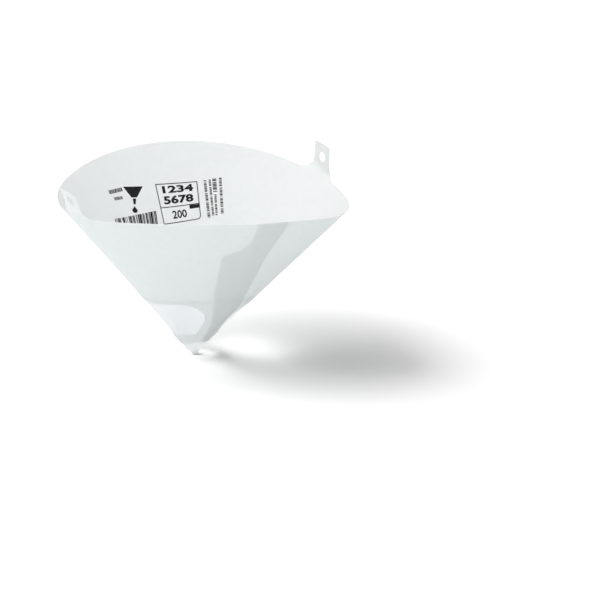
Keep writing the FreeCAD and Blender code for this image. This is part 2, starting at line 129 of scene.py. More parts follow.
# %% [markdown]
# ## Real paper
#
# Two things set the wall apart from those four sectors. The right part of the sheet is slid up
# along one straight line, just far enough for its flap to lie under the free end. And paper is
# never quite even: towards the rim it has two long swells, five shorter ones and a faint flutter,
# and its left side has a slight belly near the point. A sum of sines is enough for that, and it
# gives the same waves every time. The heights of the waves and of the belly are in mm.

# %% The rolled wall
RIM, PAPER, LAYERS_APART = 150 * MM, 0.3 * MM, 0.33 * MM
BACK_RIGHT = -2 * QUARTER - FACE_FAN
SLIDE_LINE = straight_line(BACK_RIGHT)[0]
SLIDE = SLIDE_LINE * (
    LAYERS_APART / (SLIDE_LINE.y * math.cos(FRONT) + SLIDE_LINE.z * math.sin(FRONT))
)
LONG_WAVE, SHORT_WAVE, FLUTTER, BELLY = 0.35, 0.25, 0.1, 1.9
WAVES_FROM, BELLY_LOW, BELLY_TOP = 0.3, 7 * MM, 90 * MM


def smooth(value):
    """0 below 0, 1 above 1, and a gentle step between."""
    value = min(1.0, max(0.0, value))
    return value * value * (3 - 2 * value)


def ripple(reach, turn):
    """How far the paper stands out from the four sectors: waves towards the rim, and a belly."""
    around = 2 * math.pi * turn / ONE_TURN
    swell = LONG_WAVE * math.sin(2 * around + 0.7) + SHORT_WAVE * math.sin(5 * around + 2.1)
    flutter = FLUTTER * math.sin(11 * around + 30 * reach / RIM)
    waves = (swell + flutter) * smooth(reach / RIM - WAVES_FROM)
    belly = smooth(-math.sin(around)) * smooth(reach / BELLY_LOW) * (1 - smooth(reach / BELLY_TOP))
    return MM * (waves + BELLY * belly)


def on_wall(reach, turn, depth=0.0):
    """A place on the rolled wall: distance from the point, flat angle, and depth inside."""
    line, outward = straight_line(turn)
    under = smooth((BACK_RIGHT - turn) / (2 * END_FAN))
    place = line * reach + SLIDE * under
    place = place * (reach / place.length)
    return place + outward * (ripple(reach, turn) - depth)


front_rim, side_rim = on_wall(RIM, 0), on_wall(RIM, -QUARTER)
print("rim at the front and at the left, mm:", front_rim / MM, side_rim / MM)

# %% [markdown]
# ## Cutting the blank
#
# The real sheet is punched out flat by a steel rule die. A grid of faces laid out as a fan is
# the uncut sheet: its rings lie where the die has arcs, and the rest of the outline is cut into
# it with `bisect_plane`, one short straight cut at a time, only through the faces that the cut
# crosses. The faces outside the outline are then thrown away. That leaves an even grid of four-
# sided faces, which bends well, with small faces only along the cut edges.

# %% A fan-shaped sheet
def flat_point(reach, turn):
    """A place on the flat sheet. The front's middle line points down, to -Y."""
    return Vector((reach * math.sin(turn), -reach * math.cos(turn), 0))


def polar(place):
    """Distance from the point and flat angle of a place on the flat sheet."""
    turn = math.atan2(place.x, -place.y)
    return math.hypot(place.x, place.y), turn - 2 * math.pi if turn > math.pi / 2 else turn


def fan_sheet(rings, first, last, columns):
    """A grid bent flat into a fan, with its rings at these distances from the point."""
    bm = bmesh.new()
    rows = len(rings) - 1
    bmesh.ops.create_grid(bm, x_segments=columns, y_segments=rows, size=1)
    for vert in bm.verts:
        across, up = (vert.co.x + 1) / 2, (vert.co.y + 1) / 2
        vert.co = flat_point(rings[round(up * rows)], first + (last - first) * across)
    return bm


def even_rings(*stops, step=3.9 * MM):
    """Distances from the point with a ring at each stop and even rings between."""
    rings = [stops[0]]
    for low, high in zip(stops, stops[1:]):
        count = max(1, round((high - low) / step))
        rings += [low + (high - low) * index / count for index in range(1, count + 1)]
    return rings


print("even rings from point to rim:", len(even_rings(0, RIM)))

# %% The die: short straight cuts
LONGEST_FACE, SNAP = 5 * MM, 1e-6
JUST_INSIDE = 0.001


def crossed(face, start, along, across):
    """Whether a cut from start along a line passes through a face."""
    sides = [((vert.co - start).dot(across), (vert.co - start).dot(along)) for vert in face.verts]
    meets = []
    for (far_1, on_1), (far_2, on_2) in zip(sides, sides[1:] + sides[:1]):
        if far_1 * far_2 < 0:
            meets.append(on_1 + (on_2 - on_1) * far_1 / (far_1 - far_2))
    if len(meets) < 2:
        return False
    whole = along.length**2
    return min(meets) < whole * (1 - JUST_INSIDE) and max(meets) > whole * JUST_INSIDE


def die_cut(bm, outline):
    """Cut the flat sheet along a chain of points."""
    for start, end in zip(outline, outline[1:]):
        along = end - start
        across = Vector((along.y, -along.x, 0)).normalized()
        middle, near = (start + end) / 2, along.length / 2 + LONGEST_FACE
        faces = [
            face
            for face in bm.faces
            if (face.calc_center_median() - middle).length < near
            and crossed(face, start, along, across)
        ]
        cut = {*faces, *(e for f in faces for e in f.edges), *(v for f in faces for v in f.verts)}
        bmesh.ops.bisect_plane(bm, geom=list(cut), dist=SNAP, plane_co=start, plane_no=across)


trial = fan_sheet(even_rings(100 * MM, 120 * MM), 0, math.radians(12), 5)
print("faces of a trial sheet:", len(trial.faces))
die_cut(trial, [flat_point(95 * MM, math.radians(5)), flat_point(125 * MM, math.radians(6))])
print("faces after one cut:", len(trial.faces))
trial.free()

# %% What lies inside an outline, and what is thrown away
def inside(place, outline):
    """Whether a place on the flat sheet lies inside a closed outline."""
    odd = False
    for a, b in zip(outline, outline[1:] + outline[:1]):
        if (a.y > place.y) != (b.y > place.y):
            if place.x < a.x + (place.y - a.y) * (b.x - a.x) / (b.y - a.y):
                odd = not odd
    return odd


def throw_away(bm, unwanted):
    """Delete the faces whose middle is unwanted, and the edges that they leave."""
    faces = [face for face in bm.faces if unwanted(face.calc_center_median())]
    bmesh.ops.delete(bm, geom=faces, context="FACES")


# %% Arcs, for the outlines
CORNER_STEPS, RING_STEPS = 12, 60


def arc(centre, radius, first, last, steps=CORNER_STEPS):
    """Points along an arc on the flat sheet, from one direction to another."""
    return [
        centre + radius * Vector((math.cos(turn), math.sin(turn), 0))
        for turn in (first + (last - first) * index / steps for index in range(steps + 1))
    ]


def swing(from_way, to_way):
    """The direction where an arc starts, and where it ends after the shorter swing."""
    first = math.atan2(from_way.y, from_way.x)
    return first, first + math.atan2(from_way.cross(to_way).z, from_way.dot(to_way))


def ring_arc(reach, first, last):
    """Points along a ring round the cone's point, from one flat angle to another."""
    return [
        flat_point(reach, first + (last - first) * index / RING_STEPS)
        for index in range(RING_STEPS + 1)
    ]


def polar_turn(place, near):
    """The flat angle of a place, as the turn that is nearest to another."""
    turn = math.atan2(place.x, -place.y)
    return turn + 2 * math.pi * round((near - turn) / (2 * math.pi))


middle = Vector((0, 0, 0))
print("a ring holds its middle:", inside(middle, arc(middle, RIM, 0, 2 * math.pi)))

# %% [markdown]
# ## The outlines of the die
#
# Two windows with round upper corners let the cloth show, with struts between them. The sheet's
# free end runs up the front in a gentle curve, and its other end, which the glue hides, is
# narrower. Each hanging tab grows out of the rim in two hollow curves and has a punched hole.
# The cuts of windows and tabs start a little outside their outlines, so that no corner is left
# uncut.

# %% Windows
WINDOW_LOW, WINDOW_TOP, WINDOW_CORNER = 23 * MM, 57.5 * MM, 16 * MM
STRUT, FRONT_STRUT = 17 * MM, math.radians(15)
POINT_EDGE = 13.5 * MM
WINDOW_OVERCUT = 0.5 * MM


def window_side(strut, way):
    """One side of a window from its lower to its upper edge, beside a strut's middle line."""
    side, middle = STRUT / 2, STRUT / 2 + WINDOW_CORNER
    up, out = flat_point(1, strut), flat_point(1, strut + way * math.pi / 2)
    low = math.sqrt(WINDOW_LOW**2 - side**2)
    bend = math.sqrt((WINDOW_TOP - WINDOW_CORNER) ** 2 - middle**2)
    centre = up * bend + out * middle
    corner = arc(centre, WINDOW_CORNER, *swing(-out, centre.normalized()))
    return [up * (low - WINDOW_OVERCUT) + out * side, *corner]


def window(right_strut, left_strut):
    """The closed outline of the window between two struts."""
    right, left = window_side(right_strut, -1), window_side(left_strut, 1)
    top = polar_turn(right[-1], right_strut), polar_turn(left[-1], left_strut)
    low = polar_turn(left[0], left_strut), polar_turn(right[0], right_strut)
    return right + ring_arc(WINDOW_TOP, *top) + left[::-1] + ring_arc(WINDOW_LOW, *low)


struts = [FRONT_STRUT - 2 * QUARTER * index for index in (-1, 0, 1, 2, 3)]
windows = [window(right, left) for right, left in zip(struts, struts[1:])]
print("points of one window's outline:", len(windows[0]))

# %% The two ends of the sheet
WELL_ASIDE = 140


def front_points(*places, turn=0.0):
    """Points given in mm beside and up the front's middle line, turned round the sheet."""
    return [Matrix.Rotation(turn, 3, "Z") @ Vector((x * MM, -y * MM, 0)) for x, y in places]


free_end = front_points(
    (7, 12), (12.1, 21.8), (25.8, 46.5), (28.8, 72.4), (34.5, 106.2), (43.8, 136.9), (49, 150)
)
flap_end = front_points(
    (1.5, 11),
    (6.3, 32.4),
    (4.7, 55.1),
    (1.6, 74.1),
    (1.9, 85.7),
    (1.6, 113.7),
    (13.3, 119.4),
    (19.3, 126.5),
    (21.7, 146.1),
    (22.2, 153),
    turn=-ONE_TURN,
)
past_free_end = free_end + front_points((WELL_ASIDE, 150), (WELL_ASIDE, 12))
past_flap_end = flap_end + front_points((-WELL_ASIDE, 153), (-WELL_ASIDE, 11), turn=-ONE_TURN)
print("corners of the free end and of the flap:", len(free_end), len(flap_end))

# %% [markdown]
# ## The hanging tabs
#
# Each tab is bent up along a level crease and twisted a little, so that it can hang on a hook.
# A class keeps what one tab needs: where its crease lies on the flat sheet, its cut outline, and
# how it stands in space. Stiff paper doesn't fold to a knife edge, so the crease is a soft bend.

# %% One tab
TAB_WIDTH, TAB_LENGTH, TAB_CORNER, TAB_ROOT = 19 * MM, 18.5 * MM, 3 * MM, 8 * MM
HOLE, HOLE_RISE = 7 * MM, 9 * MM
TAB_TWIST_LOW, TAB_TWIST_SPAN = 4 * MM, 7 * MM
TAB_BEND, TAB_OVERCUT = 7 * MM, 0.4 * MM
TAB_CORNER_STEPS, HOLE_STEPS = 6, 36
ROOT_SEARCH, ROOT_HALVINGS = 12 * MM, 40


class Tab:
    """One hanging tab: where its crease lies on the flat sheet and how it stands in space."""

    def __init__(self, turn, crease, facing, twist, lean, curl):
        self.crease_height = crease
        ends = [self.at_height(turn + way * 0.5 * TAB_WIDTH / RIM) for way in (-1, 1)]
        self.middle = (ends[0] + ends[1]) / 2
        self.along = (ends[1] - ends[0]).normalized()
        self.up = Vector((self.along.y, -self.along.x, 0))
        if self.up.dot(self.middle) < 0:
            self.up.negate()
        self.facing, self.twist, self.lean, self.curl = facing, twist, lean, curl

    def at_height(self, turn):
        """The place on the flat sheet that lies at the crease's height once it is rolled."""
        return flat_point(self.crease_height / straight_line(turn)[0].z, turn)

    def place(self, aside, rise):
        """A place on the flat sheet from the crease's middle."""
        return self.middle + self.along * aside + self.up * rise

    def split(self, place):
        """How far aside and above the crease a place on the flat sheet is."""
        return (place - self.middle).dot(self.along), (place - self.middle).dot(self.up)

    def outline(self):
        """The tab's cut edge, from the rim on one side to the rim on the other."""
        edge = []
        for way in (-1, 1):
            side = way * TAB_WIDTH / 2
            corner = self.place(side - way * TAB_CORNER, TAB_LENGTH - TAB_CORNER)
            ways = swing(self.along * way, self.up)
            edge.append(self.root(way) + arc(corner, TAB_CORNER, *ways, TAB_CORNER_STEPS))
        return edge[0] + edge[1][::-1]

    def root(self, way):
        """The hollow curve that runs from the rim up into the tab's side."""
        aside = way * (TAB_WIDTH / 2 + TAB_ROOT)
        low, high = -ROOT_SEARCH, ROOT_SEARCH
        for _ in range(ROOT_HALVINGS):
            rise = (low + high) / 2
            gap = self.place(aside, rise).length - TAB_ROOT - RIM
            low, high = (low, rise) if gap > 0 else (rise, high)
        centre = self.place(aside, rise)
        start = centre - centre.normalized() * (TAB_ROOT + TAB_OVERCUT)
        ways = swing(-centre.normalized(), -self.along * way)
        return [start, *arc(centre, TAB_ROOT, *ways)]

    def hole(self):
        """The punched hole."""
        return arc(self.place(0, HOLE_RISE), HOLE / 2, 0, 2 * math.pi, HOLE_STEPS)

    def wall(self, aside, rise):
        """A place on the wall at or below the crease, and the wall's slope at the crease."""
        foot = on_wall(*polar(self.place(aside, min(rise, 0))))
        slope = on_wall(*polar(self.place(aside, 0))) - on_wall(*polar(self.place(aside, -MM)))
        return foot, slope.normalized()

    def stand(self, place):
        """A place on the tab in space: twisted from its root up, bent at the crease, and curled.

        The twist and the bend fade away beside the tab, where the rim runs on as it was.
        """
        aside, rise = self.split(place)
        fade = 1 - smooth(abs(aside) / (TAB_WIDTH / 2) - 1)
        twist = self.twist * fade * smooth((rise + TAB_TWIST_LOW) / TAB_TWIST_SPAN)
        turn = Matrix.Rotation(-twist, 3, "Z")
        middle = on_wall(*polar(self.middle))
        foot, slope = self.wall(aside, rise)
        foot, slope = middle + turn @ (foot - middle), turn @ slope
        above = max(rise, 0)
        way, bend = self.facing - twist, self.lean + self.curl * above / TAB_LENGTH / 2
        outward = Vector((math.cos(way), math.sin(way), 0))
        aim = outward * math.sin(bend) + Vector((0, 0, math.cos(bend)))
        eased = max(0, TAB_BEND / 2 - abs(rise)) ** 2 / (2 * TAB_BEND) * fade
        return foot + aim * above + (aim - slope) * eased


# %% The two tabs
right_tab = Tab(
    turn=-3 * QUARTER + math.radians(16.07),
    crease=118.02 * MM,
    facing=math.radians(39.86),
    twist=math.radians(19),
    lean=math.radians(-1),
    curl=0,
)
left_tab = Tab(
    turn=-QUARTER + math.radians(11.69),
    crease=116.65 * MM,
    facing=math.radians(209.26),
    twist=math.radians(8),
    lean=math.radians(8),
    curl=math.radians(32),
)
for tab in (right_tab, left_tab):
    print("crease middle in mm:", on_wall(*polar(tab.middle)) / MM)

# %% Cut the blank
SHEET_FROM, SHEET_TO, SHEET_COLUMNS = math.radians(-223), math.radians(33), 205
WASTE_BEFORE, WASTE_AFTER = -ONE_TURN - math.radians(1), math.radians(31)
FINE_LOW, FINE_TOP, FINE_STEP = RIM - 6 * MM, RIM + 27 * MM, 1.5 * MM
TAB_FOOT, SAME_PLACE = 8 * MM, 0.03 * MM

rings = even_rings(POINT_EDGE, WINDOW_LOW, WINDOW_TOP, FINE_LOW)
rings += even_rings(FINE_LOW, RIM, FINE_TOP, step=FINE_STEP)[1:]
blank = fan_sheet(rings, SHEET_FROM, SHEET_TO, SHEET_COLUMNS)
for strut in struts[1:4]:
    die_cut(blank, window_side(strut, 1))
    die_cut(blank, window_side(strut, -1))
for outline in (free_end, flap_end, right_tab.outline(), left_tab.outline()):
    die_cut(blank, outline)
for tab in (right_tab, left_tab):
    die_cut(blank, tab.hole())


def outside_the_die(place):
    """Whether a place on the sheet is cut away."""
    if any(inside(place, outline) for outline in (*windows, past_free_end, past_flap_end)):
        return True
    reach, turn = polar(place)
    if turn < WASTE_BEFORE or turn > WASTE_AFTER:
        return True
    for tab in (right_tab, left_tab):
        if inside(place, tab.hole()):
            return True
        if inside(place, tab.outline()) and tab.split(place)[1] > -TAB_FOOT:
            return False
    return reach > RIM


throw_away(blank, outside_the_die)
bmesh.ops.remove_doubles(blank, verts=blank.verts, dist=SAME_PLACE)
print("blank faces:", len(blank.faces))

# %% [markdown]
# ## Rolling it up
#
# The flat place of each point is kept as a UV map before the sheet is rolled, because pulp, print
# and weave lie on the sheet and turn with it. Then every point moves to its place on the wall,
# and `solidify` gives the sheet its thickness, inwards. The lap needs no work of its own: the
# right part of the sheet is slid up a little, so its flap comes to lie under the free end.

# %% Finishing a sheet
SHEET_SPAN = 0.4
DOWNWARDS, CRISP = 20 * MM, math.radians(40)


def keep_flat_places(bm):
    """Keep each corner's flat place as a UV map, with the point of the cone in its middle."""
    flat = bm.loops.layers.uv.new("flat")
    for face in bm.faces:
        for loop in face.loops:
            loop[flat].uv = loop.vert.co.xy / SHEET_SPAN + Vector((0.5, 0.5))


def faces_outwards(face):
    """Whether a face of a rolled sheet points away from the axis and down."""
    middle = face.calc_center_median()
    return face.normal.dot(Vector((middle.x, middle.y, -DOWNWARDS))) > 0


def thicken(bm, thickness):
    """Give a rolled sheet its thickness, inwards, with smooth faces and crisp cut edges."""
    bm.normal_update()
    turned = [face for face in bm.faces if not faces_outwards(face)]
    bmesh.ops.reverse_faces(bm, faces=turned)
    bmesh.ops.solidify(bm, geom=bm.faces, thickness=thickness)
    for face in bm.faces:
        face.smooth = True
    for edge in bm.edges:
        if edge.calc_face_angle(0) > CRISP:
            edge.smooth = False


def make_piece(bm, name):
    """Turn a bmesh into an object that rides on the strainer."""
    mesh = bpy.data.meshes.new(name)
    bm.to_mesh(mesh)
    bm.free()
    piece = bpy.data.objects.new(name, mesh)
    bpy.context.scene.collection.objects.link(piece)
    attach(piece, "root")
    low, high = (Vector(map(pick, *(v.co for v in mesh.vertices))) for pick in (min, max))
    print(name, "faces", len(mesh.polygons), "low", low / MM, "high", high / MM)
    return piece


# %% Roll the paper
def rolled(place):
    """Where a place on the flat sheet comes to lie in space."""
    for tab in (right_tab, left_tab):
        aside, rise = tab.split(place)
        if rise > -TAB_TWIST_LOW and abs(aside) < TAB_WIDTH:
            return tab.stand(place)
    return on_wall(*polar(place))


keep_flat_places(blank)
for vert in blank.verts:
    vert.co = rolled(vert.co)
thicken(blank, PAPER)
rolled_paper = make_piece(blank, "rolled_paper")
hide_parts("paper_cone")

# %% [markdown]
# ## The cloth
#
# The filter is a second, smaller sheet: a fan of white nylon cloth, rolled with a welded seam
# and folded and glued at its point, where the last of the paint drips off. It lies just inside
# the paper, so the same straight lines carry it. Near the point the fan is gathered in shallow
# pleats and closed, with all its lines meeting in the middle. The cloth is drawn tight by the
# paper that it is glued to, so nothing needs to be simulated.

# %% A place on the cloth
NET, NET_TOP, NET_INSIDE = 0.2 * MM, 62 * MM, 0.42 * MM
POINT_END, POINT_TOP, POINT_WIDE, POINT_DEEP = 1.1 * MM, 4.5 * MM, 1.3, 0.9
SEAT = Vector((0, 1 / (2 * math.cos(FRONT)), 1 / (2 * math.sin(FRONT)))) * LAYERS_APART
TOUCH_FROM, TOUCH_SPAN = 5 * MM, 8 * MM
SEAM_END = struts[2] + ONE_TURN + math.radians(3)
SEAM_LAP, SEAM_EASE, SEAM_THICK = math.radians(6), math.radians(2), 0.23 * MM
PLEATS, PLEAT_DEPTH, PLEAT_LOW, PLEAT_TOP = 7, 0.05, 3 * MM, 10 * MM


def cloth_wall(reach, turn):
    """A place on the cloth where it lies against the paper."""
    line, outward = straight_line(turn)
    lapped = SEAM_THICK * smooth((turn - SEAM_END + SEAM_LAP) / SEAM_EASE)
    depth = NET_INSIDE * smooth((reach - TOUCH_FROM) / TOUCH_SPAN) + lapped
    return line * reach + SEAT + outward * (ripple(reach, turn) - depth)


def on_cloth(reach, turn):
    """A place on the cloth, with its folded point."""
    line = straight_line(turn)[0]
    low = Vector((line.x * POINT_WIDE, line.y * POINT_DEEP, 0)) * (MM / line.xy.length)
    if reach < POINT_END:
        return low * (reach / POINT_END)
    if reach < POINT_TOP:
        along = (reach - POINT_END) / (POINT_TOP - POINT_END)
        place = low.lerp(cloth_wall(POINT_TOP, turn), along)
    else:
        place = cloth_wall(reach, turn)
    pleat = math.cos(PLEATS * 2 * math.pi * turn / ONE_TURN)
    gather = 1 + PLEAT_DEPTH * pleat * smooth(1 - reach / PLEAT_TOP) * smooth(reach / PLEAT_LOW)
    return Vector((place.x * gather, place.y * gather, place.z))


print("front of the folded point's top in mm:", on_cloth(POINT_TOP, 0) / MM)

# %% Roll the cloth
CLOTH_FROM, CLOTH_COLUMNS = struts[2] - math.radians(3), 180
CLOTH_RING, CLOTH_STEP, SAME_THREAD = 14 * MM, 1.9 * MM, 0.01 * MM
GLUED_POINT, GLUED_BAND = 4 * MM, 58.5 * MM

cloth_rings = [0, *even_rings(POINT_END, POINT_TOP, CLOTH_RING, NET_TOP, step=CLOTH_STEP)]
cloth = fan_sheet(cloth_rings, CLOTH_FROM, SEAM_END, CLOTH_COLUMNS)
keep_flat_places(cloth)
for face in cloth.faces:
    reach = face.calc_center_median().length
    face.material_index = 1 if reach < GLUED_POINT or reach > GLUED_BAND else 0
for vert in cloth.verts:
    reach = vert.co.length
    vert.co = on_cloth(reach, polar_turn(vert.co, struts[2] + ONE_TURN / 2))
bmesh.ops.remove_doubles(cloth, verts=cloth.verts, dist=SAME_THREAD)
thicken(cloth, NET)
mesh_cloth = make_piece(cloth, "mesh_cloth")
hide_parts("filter_mesh")

# %% [markdown]
# ## The print
#
# The inside of the back is printed in black. Ink has no thickness to speak of, so the print is a
# piece of its own: thin shapes laid out flat as a printer lays them out, then carried to the
# wall by the same function as the paper, a hair's breadth inside it. A panel with one clipped
# corner holds plain numbers, and a funnel sign, a bar pattern and rows of fine blocks stand
# beside it. All shapes are general ones, and the bars come from a made-up row of widths. Places
# are in mm beside and up the back's middle line.

# %% Places on the printed panel
INK_PROUD = 0.03 * MM
INK_ACROSS, INK_UP = 2, 4
PANEL = [Vector(place) for place in ((-15.8, 90.7), (10.8, 94.6), (9.7, 121.1), (-20.2, 119.4))]


def spread(corners, across, up):
    """A place between four corners: lower left, lower right, upper right and upper left."""
    low = corners[0].lerp(corners[1], across)
    return low.lerp(corners[3].lerp(corners[2], across), up)


def on_back(place):
    """Carry a place of the flat print, in mm from the back's middle line, to the wall."""
    reach, turn = math.hypot(*place) * MM, -2 * QUARTER - math.atan2(*place)
    return on_wall(reach, turn, PAPER + INK_PROUD)


def ink_block(bm, *corners):
    """Print a filled block between four corners, in faces small enough to bend."""
    corners = [Vector(corner) for corner in corners]
    across = max(1, round((corners[1] - corners[0]).length / INK_ACROSS))
    up = max(1, round((corners[3] - corners[0]).length / INK_UP))
    made = bmesh.ops.create_grid(bm, x_segments=across, y_segments=up, size=1)
    for vert in made["verts"]:
        place = spread(corners, (vert.co.x + 1) / 2, (vert.co.y + 1) / 2)
        vert.co = (*place, 0)


def field_block(bm, field, left, right, low, high):
    """Print a block on a four-cornered field, with its sides in shares of the field's."""
    places = ((left, low), (right, low), (right, high), (left, high))
    ink_block(bm, *(spread(field, *place) for place in places))


print("middle of the panel in mm:", on_back(spread(PANEL, 0.5, 0.5)) / MM)

# %% The panel's frame
LINE = 0.022
ink = bmesh.new()
outer = [(0, 0), (0.93, 0), (0.975, 0.02), (1, 0.08), (1, 1), (0, 1)]
inner = [(LINE, LINE), (0.922, LINE), (0.957, 0.038), (1 - LINE, 0.088)]
inner += [(1 - LINE, 1 - LINE), (LINE, 1 - LINE)]
for index, corner in enumerate(outer):
    after = (index + 1) % len(outer)
    sides = corner, outer[after], inner[after], inner[index]
    ink_block(ink, *(spread(PANEL, *place) for place in sides))
field_block(ink, PANEL, left=LINE, right=1 - LINE, low=0.40, high=0.422)
field_block(ink, PANEL, left=0.74, right=1 - LINE, low=0.30, high=0.398)
print("faces of the panel's frame:", len(ink.faces))

# %% Plain numbers
def numbers(bm, text, left, right, low, high, thicker):
    """Print digits stretched to fill a field of the panel."""
    curve = bpy.data.curves.new(text, "FONT")
    curve.body, curve.offset, curve.resolution_u = text, thicker, 3
    shaped = bpy.data.objects.new(text, curve)
    flat = bpy.data.meshes.new_from_object(shaped)
    bpy.data.objects.remove(shaped)
    start = len(bm.verts)
    bm.from_mesh(flat)
    bm.verts.ensure_lookup_table()
    verts = bm.verts[start:]
    least = Vector((min(v.co.x for v in verts), min(v.co.y for v in verts)))
    most = Vector((max(v.co.x for v in verts), max(v.co.y for v in verts)))
    for vert in verts:
        across = left + (right - left) * (vert.co.x - least.x) / (most.x - least.x)
        up = low + (high - low) * (vert.co.y - least.y) / (most.y - least.y)
        vert.co = (*spread(PANEL, across, up), 0)
    print("digits", text, "verts", len(verts))


numbers(ink, "1234", left=0.145, right=0.89, low=0.755, high=0.94, thicker=0.04)
numbers(ink, "5678", left=0.13, right=0.865, low=0.48, high=0.69, thicker=0.04)
numbers(ink, "200", left=0.28, right=0.65, low=0.105, high=0.31, thicker=0.025)

# %% The funnel sign
DROP, DROP_ASIDE, DROP_UP = 2.1, -36.9, 100.4
DROP_NARROWS, DROP_REACHES = 0.75, 0.35
ink_block(ink, (-38.6, 109.2), (-34.4, 109.5), (-29.4, 117.6), (-44.6, 116.6))
ink_block(ink, (-37.4, 104.4), (-35.9, 104.5), (-35.2, 108.7), (-37.8, 108.5))
for vert in bmesh.ops.create_circle(ink, cap_ends=True, segments=16, radius=DROP)["verts"]:
    tip = smooth(vert.co.y / DROP)
    aside = DROP_ASIDE + vert.co.x * (1 - DROP_NARROWS * tip)
    vert.co = (aside, DROP_UP + vert.co.y * (1 + DROP_REACHES * tip), 0)
print("faces with the funnel sign:", len(ink.faces))

# %% The bar pattern
BARS = 2, 1, 1, 3, 2, 1, 4, 1, 1, 2, 3, 1, 2, 2, 1, 1, 3, 4, 1, 2, 1, 3, 1, 1, 2, 4, 1, 2, 2
GAPS = 2, 2, 1, 1, 4, 1, 2, 3, 4, 1, 1, 2, 1, 3, 1, 2, 1, 1, 2, 1, 3, 1, 2, 1, 1, 1, 2, 1, 2
CODE = [Vector(place) for place in ((-52.6, 84.5), (-19.7, 90.2), (-20.4, 100.7), (-54.4, 92.6))]
INK_SPREAD, LONG_BARS, LONGER = 0.35, (0, 1, 27, 28), 0.12
unit = 1 / (sum(BARS) + sum(GAPS))
left = 0
for index, (bar, gap) in enumerate(zip(BARS, GAPS)):
    low = -LONGER if index in LONG_BARS else 0
    right = left + bar + INK_SPREAD
    field_block(ink, CODE, left * unit, right * unit, low, 1)
    left += bar + gap
print("bars:", len(BARS))

# %% Rows of fine blocks
LENGTHS = 0.7, 0.5, 0.9, 0.4, 0.6, 0.8, 0.45, 1.0, 0.55, 0.35, 0.65
BETWEEN_WORDS = 3


def fine_row(bm, start, end, width, first, gap=0.3, word=7):
    """Print a row of small blocks in groups, along a line."""
    start, end = Vector(start), Vector(end)
    along = (end - start).normalized()
    aside = Vector((-along.y, along.x)) * width / 2
    done, index = 0, first
    while done < (end - start).length:
        length = LENGTHS[index % len(LENGTHS)]
        near = start + along * done
        far = near + along * length
        ink_block(bm, near - aside, far - aside, far + aside, near + aside)
        done += length + gap * (BETWEEN_WORDS if index % word == 0 else 1)
        index += 1


fine_row(ink, (-56.4, 111.6), (-46.0, 114.6), width=2.8, first=1, gap=0.25, word=99)
fine_row(ink, (-52.6, 107.2), (-46.0, 108.7), width=2.2, first=4, gap=0.25, word=99)
fine_row(ink, (15.0, 121.4), (16.2, 95.6), width=1.9, first=0)
fine_row(ink, (18.3, 121.8), (19.2, 96.0), width=1.5, first=3)
fine_row(ink, (21.5, 122.3), (21.6, 113.2), width=2.8, first=6, gap=0.25)
fine_row(ink, (21.6, 111.1), (21.5, 96.6), width=1.5, first=8)
fine_row(ink, (25.7, 122.6), (25.5, 97.4), width=1.9, first=2, gap=0.35)
print("faces of the whole print:", len(ink.faces))

# %% Lay the print on the wall
for vert in ink.verts:
    vert.co = on_back(vert.co.xy)
ink.normal_update()
for face in ink.faces:
    if faces_outwards(face):
        face.normal_flip()
    face.smooth = True
back_print = make_piece(ink, "back_print")

# %% [markdown]
# ## Paper
#
# The paper is white, lightly sized against paint, and thin enough to let light through, so where
# two layers lie on each other it looks darker. Pulp is cloudy when it is held to the light, and
# fibres give it a fine tooth. Both patterns are worked out on the flat sheet, so they don't
# stretch where the paper is rolled. The pulp pattern is a node group, because the ink that lies
# on the paper takes its unevenness from the same pulp.

# %% Helpers for nodes
def add(tree, kind, inputs=None, **settings):
    """Add a node. Each input is given a value, or the output that feeds it."""
    node = tree.nodes.new(kind)
    for name, value in settings.items():
        setattr(node, name, value)
    for name, value in (inputs or {}).items():
        if isinstance(value, bpy.types.NodeSocket):
            tree.links.new(value, node.inputs[name])
        else:
            node.inputs[name].default_value = value
    return node


def math_node(tree, operation, *values):
    """A Math node's result."""
    return add(tree, "ShaderNodeMath", dict(enumerate(values)), operation=operation).outputs[0]


def blend(tree, share, low, high):
    """A colour between two, by a share. A Mix node's colours are its sockets 6, 7 and 2."""
    ends = {0: share, 6: (*low, 1), 7: (*high, 1)}
    return add(tree, "ShaderNodeMix", ends, data_type="RGBA").outputs[2]


def between(tree, share, low, high):
    """A number between two, by a share."""
    ends = {"Value": share, "To Min": low, "To Max": high}
    return add(tree, "ShaderNodeMapRange", ends).outputs[0]


def share_of(tree, value, low, high):
    """How far a value is on its way from low to high, from 0 to 1."""
    ends = {"Value": value, "From Min": low, "From Max": high}
    return add(tree, "ShaderNodeMapRange", ends).outputs[0]


def scaled(tree, place, scale):
    """A place made larger by the same amount every way."""
    sizes = {"Vector": place, "Scale": (scale, scale, scale)}
    return add(tree, "ShaderNodeMapping", sizes).outputs[0]


def bump(tree, height, strength, distance):
    """A normal that follows a height."""
    sizes = {"Height": height, "Strength": strength, "Distance": distance}
    return add(tree, "ShaderNodeBump", sizes).outputs[0]


def mix_shaders(tree, share, first, second):
    """A mix of two shaders, all the second where the share is 1."""
    return add(tree, "ShaderNodeMixShader", {0: share, 1: first, 2: second}).outputs[0]


# %% Helpers for groups and materials
def new_group(name, outputs):
    """A node group that reads a place, with named results, and its two end nodes."""
    group = bpy.data.node_groups.new(name, "ShaderNodeTree")
    group.interface.new_socket("Place", in_out="INPUT", socket_type="NodeSocketVector")
    for socket in outputs:
        group.interface.new_socket(socket, in_out="OUTPUT", socket_type="NodeSocketFloat")
    return group, group.nodes.new("NodeGroupInput"), group.nodes.new("NodeGroupOutput")


def place_group(tree, group, place):
    """Put a group in a material, at a place in mm, and return its results."""
    node = add(tree, "ShaderNodeGroup", node_tree=group)
    tree.links.new(place, node.inputs["Place"])
    return node.outputs


